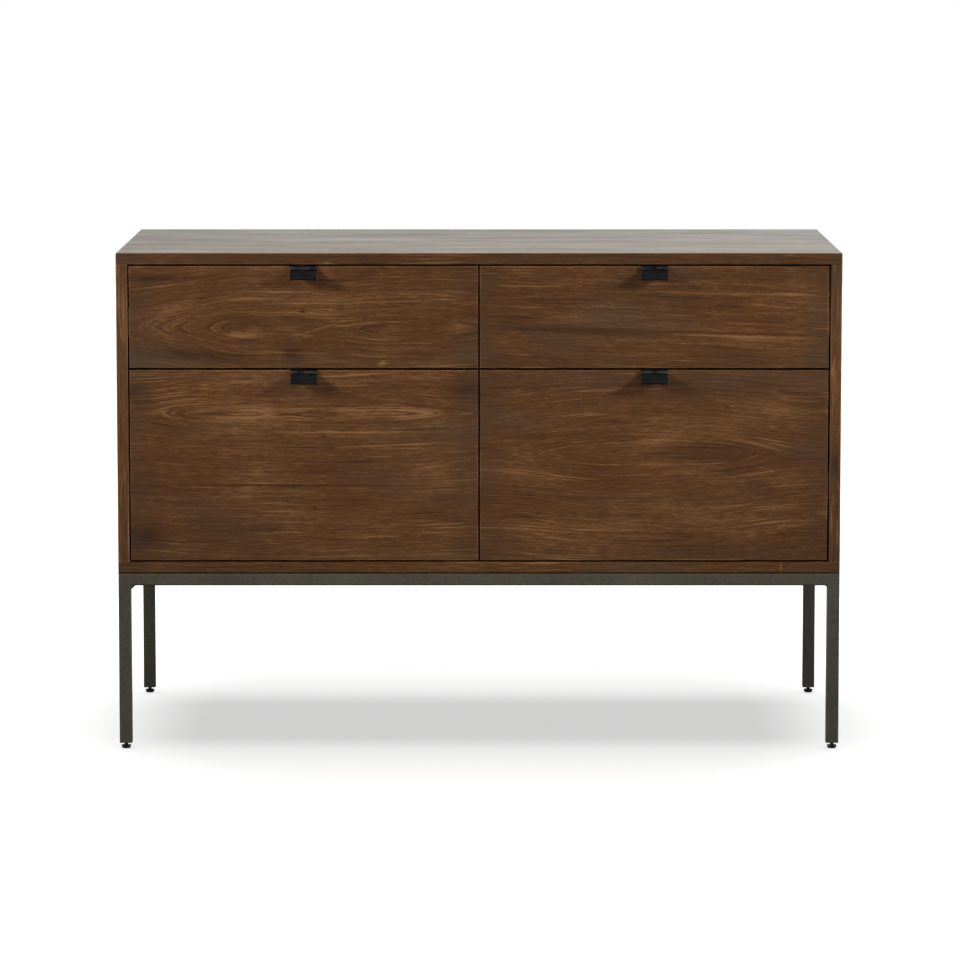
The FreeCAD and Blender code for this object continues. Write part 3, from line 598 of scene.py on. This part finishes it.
def turned(radius, rise, facets):
    """Surface of revolution about Z: each row is a circle of the given radius at the given
    height, and the first and last rows are single points on the axis."""
    angle = np.linspace(0.0, 2 * np.pi, facets, endpoint=False)
    level = np.repeat(rise[:, None], facets, 1)
    ring = np.stack([radius * np.cos(angle), radius * np.sin(angle), level], -1)
    points = np.concatenate([ring[0, :1], ring[1:-1].reshape(-1, 3), ring[-1, :1]])
    body = quads(len(rise) - 2, facets) + 1
    step = np.arange(facets)
    following = (step + 1) % facets
    first = np.stack([np.zeros(facets, int), following + 1, step + 1], -1)
    base = 1 + (len(rise) - 3) * facets
    last = np.stack([np.full(facets, len(points) - 1), base + step, base + following], -1)
    return points, [*first, *body, *last]


def screw_heads(name, centres, turn, width, rise, material, body):
    """Round heads with a crossed slot: the height over a disc is a flat dome, less a cross
    whose arms fall off smoothly; the last two rows close the head below. Every head is the
    same grid, turned onto its axis."""
    rings, facets = 15, settings("hardware").turns
    arm_half, arm_reach, arm_depth, flank = 0.13, 0.58, 0.8, 0.35
    reach = np.append(np.linspace(0.0, 1.0, rings - 1), 0.0)[:, None]
    angle = np.linspace(0.0, 2 * np.pi, facets, endpoint=False)[None]
    across, up = reach * np.cos(angle), reach * np.sin(angle)
    dome = flank + (1.0 - flank) * (1 - reach**4)
    arms = np.exp(-((np.minimum(np.abs(across), np.abs(up)) / arm_half) ** 4))
    level = rise * (dome - arms * np.exp(-((reach / arm_reach) ** 8)) * arm_depth)
    level[-2:] = 0.0
    local = np.stack([across * width / 2, up * width / 2, level], -1).reshape(-1, 3)
    points = (local @ turn.T)[None] + np.array(centres)[:, None]
    starts = np.arange(len(points)) * len(local)
    faces = (quads(rings, facets)[None] + starts[:, None, None]).reshape(-1, 4)
    merge(piece(name, points, faces, material, body))


def merge(made):
    """Joins points at one place, so that poles and seams are closed."""
    work = bmesh.new()
    work.from_mesh(made.data)
    bmesh.ops.remove_doubles(work, verts=work.verts, dist=1e-7)
    bmesh.ops.recalc_face_normals(work, faces=work.faces)
    work.to_mesh(made.data)
    work.free()
    made.data.update()


# Turns whose columns are where x, y and z of a screw head point.
UP = np.eye(3)
TO_BACK = np.array([(1, 0, 0), (0, 0, -1), (0, 1, 0)], float).T


def four_tones(kind):
    """Middle, light, dark and grey tones of the stained or the plain boards."""
    tones = settings("finish")
    return [tuple(getattr(tones, f"{kind}_{part}")) for part in ("mid", "light", "dark", "grey")]


class CREDENZA_OT_case(bpy.types.Operator):
    """Stains the boards of the case"""

    bl_idname = "credenza.case"
    bl_label = "Finish the case"

    def execute(self, context):
        boards = {
            # reveals darken arrises beside a gap as painted shade: the top's over the upper
            # drawers, the bottom's over the base rail, the right side's beside the right-hand
            # drawers
            "top_panel": Board(
                "xyz", 1.3, coat_and_shade_on_top=True, reveals=("z0",),
                chips_and_shade=((-0.231, 0.7446, 0.005, 0.0012, 1.0),),
            ),
            "bottom_panel": Board(
                "xyz", 4.9, lift=0.04, reveals=("z0",),
                # the second mark is a dark strip along the whole lower front edge: painted shade of
                # the gap above the base rail
                chips_and_shade=((0.46, 0.28, 0.0012, 0.006, 0.4), (0.0, 0.2715, 9.0, 0.0014, -0.5)),
            ),
            "left_side_panel": Board("zyx", 7.7, lift=0.08),
            "right_side_panel": Board(
                "zyx", 12.1, lift=0.06, reveals=("x0",),
                chips_and_shade=(
                    (0.538, 0.737, 0.0015, 0.007, 0.4), (0.536, 0.583, 0.002, 0.008, 0.4),
                    (0.542, 0.436, 0.009, 0.022, -0.3),
                ),
            ),
            "centre_divider": Board("zyx", 15.4, lift=-0.1),
            "back_panel": Board(
                "xzy", 21.9, heart=(0.55, 0.06), humps=((0.1, 0.35, 0.045),),
                rings=(0.02, 0.028, 0.037, 0.045),
            ),
        }
        for name, board in boards.items():
            finish = BoardFinish(f"{name}_stain", board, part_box(name))
            dress([name], finish.finished(four_tones("stain")))
        return {"FINISHED"}


class CREDENZA_OT_fronts(bpy.types.Operator):
    """Stains the drawer fronts, each from its own board"""

    bl_idname = "credenza.fronts"
    bl_label = "Finish the drawer fronts"

    def execute(self, context):
        # all four edges of a front get painted shade from the gaps round it
        edges = ("x0", "x1", "z0", "z1")
        boards = {
            "upper_left": Board(
                "xzy", 2.6, reveals=edges,
                heart=(0.645, 0.06),
                humps=((-0.16, 0.34, 0.04), (-0.365, 0.036, 0.004), (-0.105, 0.075, 0.006)),
                rings=(0.0288, 0.0392, 0.0476),
                line_gain=0.15,
                figure=0.17,
                knots=((-0.267, 0.671, 0.0026), (-0.437, 0.709, 0.002)),
                streaks=(
                    (-0.5, 0.722, 0.0, 0.06, 0.006, -0.3), (-0.46, 0.604, -0.05, 0.09, 0.008, -0.3),
                    (-0.283, 0.606, 0.0, 0.016, 0.012, -0.35),
                    (-0.146, 0.593, 0.1, 0.006, 0.003, 0.45),
                    (-0.242, 0.645, 0.3, 0.03, 0.0013, 0.3), (-0.03, 0.648, 0.1, 0.02, 0.008, 0.25),
                    (-0.357, 0.636, 0.1, 0.028, 0.0075, 0.36),
                ),
            ),
            "upper_right": Board(
                "xzy", 6.2, reveals=edges, tilt=0.035,
                knots=((0.175, 0.676, 0.002),),
                streaks=(
                    (0.17, 0.642, -0.04, 0.13, 0.0045, -0.45),
                    (0.37, 0.634, -0.03, 0.1, 0.0022, 0.34),
                    (0.36, 0.698, -0.02, 0.13, 0.0018, 0.3),
                    (0.42, 0.638, -0.03, 0.14, 0.0022, -0.25),
                ),
            ),
            "lower_left": Board(
                "xzy", 9.4, reveals=edges,
                heart=(0.5165, 0.0165),
                humps=((-0.397, 0.08, 0.0125), (-0.19, 0.14, 0.01)),
                rings=(0.0068, 0.0092, 0.0124),
                line_gain=0.38,
                knots=((-0.236, 0.4815, 0.0026), (-0.25, 0.372, 0.0026)),
                streaks=(
                    (-0.505, 0.327, 0.0, 0.03, 0.018, -0.3),
                    (-0.015, 0.555, 0.0, 0.03, 0.022, -0.25),
                    (-0.52, 0.55, 0.0, 0.02, 0.02, -0.2), (-0.19, 0.575, 0.05, 0.06, 0.0013, 0.4),
                    (-0.3, 0.406, 0.0, 0.13, 0.0014, -0.4), (-0.2, 0.488, 0.0, 0.13, 0.0014, 0.35),
                    (-0.12, 0.468, 0.04, 0.09, 0.0013, 0.35),
                ),
            ),
            "lower_right": Board(
                "xzy", 13.8, reveals=edges,
                heart=(0.4545, 0.028),
                humps=((0.262, 0.17, 0.022),),
                rings=(0.0205,),
                norm=1.3,
                line_gain=0.25,
                figure=-0.08,
                knots=((0.2045, 0.458, 0.0034), (0.377, 0.5255, 0.003)),
                streaks=(
                    (0.32, 0.4545, 0.0, 0.08, 0.009, -0.2), (0.3, 0.56, 0.0, 0.16, 0.012, -0.15),
                ),
            ),
        }
        for name, board in boards.items():
            node = f"{name}_drawer_front"
            finish = BoardFinish(f"{name}_front_stain", board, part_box(node))
            dress([node], finish.finished(four_tones("stain")))
        return {"FINISHED"}


class CREDENZA_OT_boxes(bpy.types.Operator):
    """Finishes the drawer boxes, with the screws that hold their fronts and their file rails"""

    bl_idname = "credenza.boxes"
    bl_label = "Finish the drawer boxes"

    def execute(self, context):
        side_board = self.board("box_side_lacquer", "yzx", 3.1)
        end_board = self.board("box_end_lacquer", "xzy", 8.3)
        base_board = self.board("box_bottom_lacquer", "xyz", 11.6)
        tones, sizes = settings("finish"), settings("hardware")
        rail = metal_finish("rail_black", tuple(tones.pull_black), 0.45, 0.0, 0.35)
        screws = metal_finish("box_screw_zinc", tuple(tones.screw_zinc), 0.35, 1.0)
        for name in DRAWERS:
            dress([f"{name}_box_left_side", f"{name}_box_right_side"], side_board)
            dress([f"{name}_box_front", f"{name}_box_back"], end_board)
            dress([f"{name}_bottom"], base_board)
            if name.startswith("lower"):
                dress([f"{name}_file_rails"], rail)
            low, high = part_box(f"{name}_box_front")
            x = low.x + (high.x - low.x) * np.array([1 / 7, 6 / 7])
            z = low.z + (high.z - low.z) * np.array([0.3, 0.75])
            spots = np.stack(np.meshgrid(x, [high.y], z), -1).reshape(-1, 3)
            screw_heads(
                f"{name}_front_screws", spots, TO_BACK, sizes.front_screw, sizes.front_screw_rise,
                screws, name,
            )
        return {"FINISHED"}

    def board(self, name, grain, seed):
        finish = BoardFinish(name, Board(grain, seed, gloss=0.2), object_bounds())
        return finish.finished(four_tones("box"))


class CREDENZA_OT_pulls(bpy.types.Operator):
    """Coats the pulls and sets the screws in their flanges"""

    bl_idname = "credenza.pulls"
    bl_label = "Finish the pulls"

    def execute(self, context):
        tones, sizes = settings("finish"), settings("hardware")
        below_top = 0.0035
        # heights of the pulls' top bends, where the coat gets a painted highlight
        bends = sorted({round(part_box(f"{name}_pull")[1].z - below_top, 5) for name in DRAWERS})
        coat = worn_and_highlit_black("pull_coat", tuple(tones.pull_black), bends)
        screws = metal_finish("pull_screw_black", tuple(tones.pull_black), 0.35, 0.6)
        for name in DRAWERS:
            dress([f"{name}_pull"], coat)
            low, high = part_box(f"{name}_pull")
            x = (low.x + high.x) / 2 + np.array([-0.5, 0.5]) * sizes.pull_screw_pitch
            y = np.full(2, high.y - sizes.pull_screw_inset)
            spots = np.stack([x, y, np.full(2, high.z)], -1)
            screw_heads(
                f"{name}_pull_screws", spots, UP, sizes.pull_screw, sizes.pull_screw_rise,
                screws, name,
            )
        return {"FINISHED"}


class CREDENZA_OT_slides(bpy.types.Operator):
    """Plates the telescopic slides"""

    bl_idname = "credenza.slides"
    bl_label = "Finish the slides"

    def execute(self, context):
        plating = tuple(settings("finish").zinc)
        zinc = metal_finish("slide_plating", plating, 0.3, 1.0, grain=(60.0, 3.0, 60.0))
        dress(["slide_case_members"], zinc)
        for name in DRAWERS:
            dress([f"{name}_slide_middle_members", f"{name}_slide_drawer_members"], zinc)
        return {"FINISHED"}


class CREDENZA_OT_base(bpy.types.Operator):
    """Coats the tube base and its screws and plugs"""

    bl_idname = "credenza.base"
    bl_label = "Finish the base"

    def execute(self, context):
        tones = settings("finish")
        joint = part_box("bottom_panel")[0].z
        # painted shade: a dark line along the rail tops, where the joint under the bottom panel is
        # in shade
        coat = metal_finish(
            "base_gunmetal", tuple(tones.gunmetal), 0.4, 0.85, grain=(20.0, 20.0, 20.0),
            gap_shade=(joint,),
        )
        rails = [f"{side}_base_rail" for side in ("front", "rear", "left", "right")]
        dress(rails + [f"{corner}_leg" for corner in CORNERS], coat)
        zinc = metal_finish("base_screw_zinc", tuple(tones.screw_zinc), 0.35, 1.0)
        dress(["base_mounting_screws", "leg_end_plugs"], zinc)
        return {"FINISHED"}


class CREDENZA_OT_feet(bpy.types.Operator):
    """Turns the levelling feet with rounded glides and threaded studs"""

    bl_idname = "credenza.feet"
    bl_label = "Turn the levelling feet"

    def execute(self, context):
        sizes = settings("hardware")
        plastic = plastic_finish("glide_plastic", tuple(settings("finish").glide))
        for corner in CORNERS:
            node = f"{corner}_levelling_foot"
            low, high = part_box(node)
            points, faces = self.foot(sizes, high.z - low.z, (high.x - low.x) / 2)
            points = points + np.array([(low.x + high.x) / 2, (low.y + high.y) / 2, low.z])
            made = piece(
                f"{node}_turned", points, faces, plastic, f"{corner}_foot"
            )
            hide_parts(node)
        return {"FINISHED"}

    def foot(self, sizes, tall, wide):
        """Radius against height: a flat sole, a flared side with quarter-round rims, a
        shoulder, and a stud whose radius is a saw-tooth in height less turn over a turn."""
        stud, glide, rim, flare = 0.003, 0.005, 0.0009, 0.00125
        rows, neck, tip = 150, 1e-4, 5e-4
        bend = np.linspace(0.0, np.pi / 2, 6)
        sole = wide - flare - rim
        side_r = np.concatenate(
            [[0.0, sole], sole + rim * np.sin(bend[1:]), wide - rim + rim * np.cos(bend), [stud]]
        )
        side_z = np.concatenate(
            [[0.0, 0.0], rim - rim * np.cos(bend[1:]), glide - rim + rim * np.sin(bend), [glide]]
        )
        thread_z = np.linspace(glide + neck, tall - tip, rows)
        rise = np.concatenate([side_z, thread_z, [tall, tall]])
        turn_share = np.linspace(0.0, 1.0, sizes.turns, endpoint=False)
        wave = (thread_z[:, None] / sizes.thread_pitch - turn_share[None]) % 1.0
        thread_r = stud - sizes.thread_depth * np.abs(2 * wave - 1)
        flat = np.repeat(side_r[:, None], sizes.turns, 1)
        end = np.repeat(np.array([[stud - sizes.thread_depth], [0.0]]), sizes.turns, 1)
        return turned(np.concatenate([flat, thread_r, end]), rise, sizes.turns)


class Lamp(NamedTuple):
    """A square panel; on the left, its place is mirrored."""

    place: tuple
    target: tuple
    size: float
    spread: float = 180.0  # degrees


OVERHEAD = Lamp((0.0, 0.5, 8.0), (0.0, 0.5, 0.0), 8.0)
FRONT_FILL = Lamp((0.0, -6.0, 3.2), (0.0, -0.27, 0.45), 2.0)
KEY = Lamp((2.525, -0.923, 1.5), (0.0, -0.27, 0.45), 0.42, 36.0)
REAR = Lamp((2.2, 3.0, 2.4), (0.0, 0.27, 0.5), 1.0)


class CREDENZA_OT_stage(bpy.types.Operator):
    """Sets the pale floor, the soft lights and the camera"""

    bl_idname = "credenza.stage"
    bl_label = "Set the stage"

    def execute(self, context):
        studio = settings("studio")
        floor = self.floor()
        self.sky(studio)
        self.lamp("overhead_panel", OVERHEAD, studio.overhead)
        lit = bpy.data.collections.new("lit_by_side_lamps")
        lit.objects.link(floor)
        lit.collection_objects[0].light_linking.link_state = "EXCLUDE"
        fills = [self.lamp("front_fill", FRONT_FILL, studio.fill)]
        for name, side in (("left", -1.0), ("right", 1.0)):
            key = self.lamp(f"{name}_key", KEY, studio.key, side)
            key.light_linking.receiver_collection = lit
            fills.append(self.lamp(f"{name}_rear", REAR, studio.rear, side))
        for fill in fills:
            fill.visible_glossy = False
            fill.light_linking.receiver_collection = lit
        self.camera(studio)
        context.scene.view_settings.view_transform = "Standard"
        return {"FINISHED"}

    def floor(self):
        """Flat grid, pale, with added white for the camera so that only the shadow shows on
        it; it throws less light back onto the object than the camera sees."""
        half, cells = 9.0, 4
        ticks = np.linspace(-half, half, cells + 1)
        x, y = np.meshgrid(ticks, ticks)
        points = np.stack([x, y, np.zeros_like(x)], -1)
        here = np.arange((cells + 1) ** 2).reshape(cells + 1, cells + 1)
        corners = [here[:-1, :-1], here[:-1, 1:], here[1:, 1:], here[1:, :-1]]
        faces = np.stack(corners, -1).reshape(-1, 4)
        mesh = bpy.data.meshes.new("studio_floor")
        mesh.from_pydata(points.reshape(-1, 3).tolist(), [], faces.tolist())
        mesh.materials.append(self.floor_finish())
        made = bpy.data.objects.new("studio_floor", mesh)
        bpy.context.scene.collection.objects.link(made)
        made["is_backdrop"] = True
        return made

    def floor_finish(self):
        """Matt white with a glow that grows away from the object; duller to other rays."""
        bright, dim, glow_near, glow_far = 0.97, 0.55, 0.613, 1.113
        finish = Finish("studio_floor")
        ray = finish.add("ShaderNodeLightPath", out="Is Camera Ray")
        x, y, _ = finish.place()
        far = (x * x * 1.7 + y * y).ease(0.3, 1.5)
        matt = finish.add("ShaderNodeBsdfDiffuse", None, {"Color": (bright,) * 3})
        white = finish.mix(far, (glow_near,) * 3, (glow_far,) * 3)
        glow = finish.add("ShaderNodeEmission", None, {"Color": white, "Strength": 1.0})
        seen = finish.add("ShaderNodeAddShader", None, {0: matt, 1: glow})
        dull = finish.add("ShaderNodeBsdfDiffuse", None, {"Color": (dim,) * 3})
        shader = finish.add("ShaderNodeMixShader", None, {0: ray, 1: dull, 2: seen})
        finish.add("ShaderNodeOutputMaterial", None, {"Surface": shader})
        return finish.material

    def sky(self, studio):
        """Even light, white to the camera and a faint green grey in reflections."""
        white, reflected = (1.0, 1.0, 1.0), (0.95, 1.0, 0.955)
        world = bpy.data.worlds.new("studio_white")
        bpy.context.scene.world = world
        finish = Finish("studio_white", world)
        path = finish.tree.nodes.new("ShaderNodeLightPath")
        camera, glossy, through = (
            Wire(finish, path.outputs[f"Is {kind} Ray"])
            for kind in ("Camera", "Glossy", "Transmission")
        )
        seen = (camera + glossy + through).least(1.0)
        strength = studio.sky + seen * (1.0 - studio.sky)
        colour = finish.mix(camera, reflected, white)
        sockets = {"Color": colour, "Strength": strength}
        light = finish.add("ShaderNodeBackground", None, sockets)
        finish.add("ShaderNodeOutputWorld", None, {"Surface": light})

    def lamp(self, name, lamp, watts, side=1.0):
        light = bpy.data.lights.new(name, "AREA")
        light.energy = watts
        light.size = lamp.size
        light.spread = np.radians(lamp.spread)
        made = bpy.data.objects.new(name, light)
        made.location = (side * lamp.place[0], *lamp.place[1:])
        way = Vector(lamp.target) - made.location
        made.rotation_euler = way.to_track_quat("-Z", "Y").to_euler()
        bpy.context.scene.collection.objects.link(made)
        return made

    def camera(self, studio):
        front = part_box("upper_left_drawer_front")[0].y
        lens = bpy.data.cameras.new("photo_camera")
        lens.lens = studio.lens
        lens.sensor_width = 36.0
        lens.clip_end = 200.0
        made = bpy.data.objects.new("photo_camera", lens)
        made.location = (studio.side, front - studio.distance, studio.height)
        way = Vector((studio.side, front, studio.aim)) - made.location
        made.rotation_euler = way.to_track_quat("-Z", "Y").to_euler()
        bpy.context.scene.collection.objects.link(made)
        bpy.context.scene.camera = made


OPERATORS = (
    CREDENZA_OT_case,
    CREDENZA_OT_fronts,
    CREDENZA_OT_boxes,
    CREDENZA_OT_pulls,
    CREDENZA_OT_slides,
    CREDENZA_OT_base,
    CREDENZA_OT_feet,
    CREDENZA_OT_stage,
)
GROUPS = {
    "finish": CREDENZA_PG_finish,
    "hardware": CREDENZA_PG_hardware,
    "studio": CREDENZA_PG_studio,
}


class CREDENZA_PT_panel(bpy.types.Panel):
    """Lists the steps that dress the credenza"""

    bl_idname = "CREDENZA_PT_panel"
    bl_label = "Filing credenza"
    bl_space_type = "VIEW_3D"
    bl_region_type = "UI"
    bl_category = "Credenza"

    def draw(self, context):
        for operator in OPERATORS:
            self.layout.operator(operator.bl_idname)
        for name, group in GROUPS.items():
            box = self.layout.box()
            for prop in group.__annotations__:
                box.prop(settings(name), prop)


CLASSES = (*GROUPS.values(), *OPERATORS, CREDENZA_PT_panel)


def register():
    for cls in CLASSES:
        bpy.utils.register_class(cls)
    for name, group in GROUPS.items():
        setattr(bpy.types.Scene, f"credenza_{name}", PointerProperty(type=group))


def unregister():
    for name in GROUPS:
        delattr(bpy.types.Scene, f"credenza_{name}")
    for cls in reversed(CLASSES):
        bpy.utils.unregister_class(cls)


def main():
    register()
    bpy.ops.credenza.case()
    bpy.ops.credenza.fronts()
    bpy.ops.credenza.boxes()
    bpy.ops.credenza.pulls()
    bpy.ops.credenza.slides()
    bpy.ops.credenza.base()
    bpy.ops.credenza.feet()
    bpy.ops.credenza.stage()


if __name__ == "__main__":
    main()
